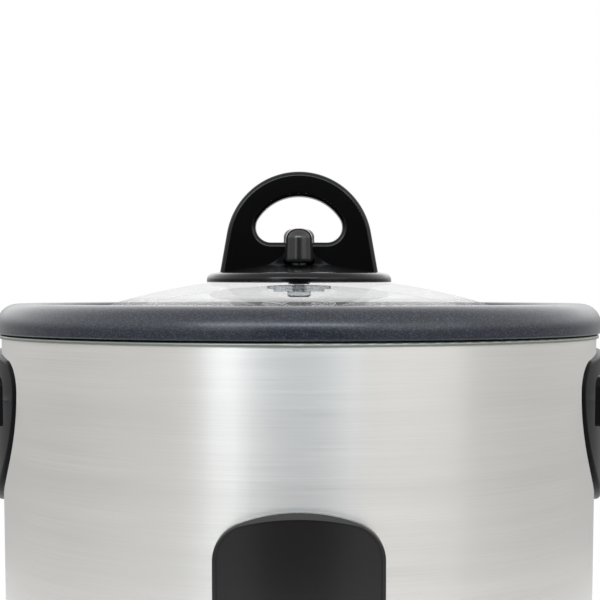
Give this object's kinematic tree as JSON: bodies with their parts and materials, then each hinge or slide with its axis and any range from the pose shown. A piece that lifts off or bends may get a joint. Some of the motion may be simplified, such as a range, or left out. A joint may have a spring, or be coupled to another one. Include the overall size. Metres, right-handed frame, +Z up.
{
  "type": "rice cooker",
  "caption": "Drum-shaped electric rice cooker with a brushed steel body, lift-out non-stick pot, domed glass lid with loop handle, side handles and a lever switch on the front panel.",
  "frame": {"origin": "on the table, under the middle of the cooker's overall box, which is the drum's axis", "axes": "+Z up; the control panel faces -Y; the side handles point along +X and -X"},
  "size_m": [0.3436, 0.2977, 0.2752],
  "materials": {
    "brushed_steel": "horizontal brush grain",
    "pot_coat": "dark grey metallic flake non-stick coat",
    "clear_glass": "clear, polished",
    "band_steel": "polished",
    "gloss_black": "gloss",
    "panel_black": "satin gloss",
    "base_black": "fine grain",
    "silicone": "matt translucent grey",
    "foot_rubber": "matt",
    "zinc_steel": "zinc plated",
    "liner_metal": "plain sheet",
    "cast_aluminium": "turned face",
    "red_lens": "clear red",
    "amber_lens": "clear amber",
    "lamp_glass": "clear",
    "board_brown": "plain",
    "ferrite": "sintered",
    "insulator": "plain",
    "brass": "plain",
    "mica": "plain"
  },
  "bodies": {
    "body": {"outer_shell": "brushed_steel", "inner_liner": "liner_metal", "base_tray": "base_black", "bottom_plate": "zinc_steel", "feet": "foot_rubber", "bottom_screws": "zinc_steel", "liner_screws": "zinc_steel", "side_handle_right": "gloss_black", "side_handle_left": "gloss_black", "handle_screws": "zinc_steel", "panel_frame": "panel_black", "panel_face": "panel_black", "cook_lens": "red_lens", "warm_lens": "amber_lens", "lamps": "lamp_glass", "lamp_board": "board_brown", "lever_bracket": "zinc_steel", "lever_pin": "zinc_steel", "contact_block": "insulator", "contact_leaves": "brass", "heating_plate": "cast_aluminium", "heater_tube": "zinc_steel", "terminal_bushes": "insulator", "thermal_fuse": "insulator", "warm_band": "mica", "sensor_sleeve": "zinc_steel", "sensor_spring": "zinc_steel", "power_inlet": "base_black", "inlet_blades": "brass", "inlet_screws": "zinc_steel"},
    "pot": {"inner_pot": "pot_coat"},
    "lid": {"lid_glass": "clear_glass", "lid_band": "band_steel", "lid_handle": "gloss_black", "handle_gasket": "silicone", "under_gasket": "silicone", "clamp_washer": "zinc_steel", "clamp_screw": "zinc_steel"},
    "vent": {"vent_knob": "gloss_black"},
    "lever": {"lever_arm": "zinc_steel", "lever_knob": "gloss_black"},
    "lifter": {"magnet": "ferrite", "magnet_rod": "zinc_steel"},
    "sensor": {"sensor_cup": "cast_aluminium", "sensor_ferrite": "ferrite", "release_spring": "zinc_steel"}
  },
  "joints": [
    {"name": "pot_lift", "type": "slide", "parent": "body", "child": "pot", "axis": [0, 0, 1], "range_m": [0, 0.16]},
    {"name": "lid_lift", "type": "slide", "parent": "pot", "child": "lid", "axis": [0, 0, 1], "range_m": [0, 0.1]},
    {"name": "vent_turn", "type": "hinge", "parent": "lid", "child": "vent", "pos_m": [0, -0.011, 0.23134], "axis": [0, 0, 1], "range_deg": [0, 90]},
    {"name": "cook_lever", "type": "hinge", "parent": "body", "child": "lever", "pos_m": [0, -0.0728, 0.0332], "axis": [1, 0, 0], "range_deg": [0, 6], "stiffness_Nm_per_rad": 0.3, "springref_deg": -8.59},
    {"name": "magnet_rise", "type": "slide", "parent": "body", "child": "lifter", "axis": [0, 0, 1], "range_m": [0, 0.00807], "deforming": ["release_spring"]},
    {"name": "sensor_press", "type": "slide", "parent": "body", "child": "sensor", "axis": [0, 0, 1], "range_m": [-0.0015, 0], "stiffness_N_per_m": 400, "springref_m": 0.004, "deforming": ["sensor_spring"]}
  ],
  "couplings": [
    {"joint": "magnet_rise", "follows": "cook_lever", "m_per_rad": 0.0768}
  ]
}
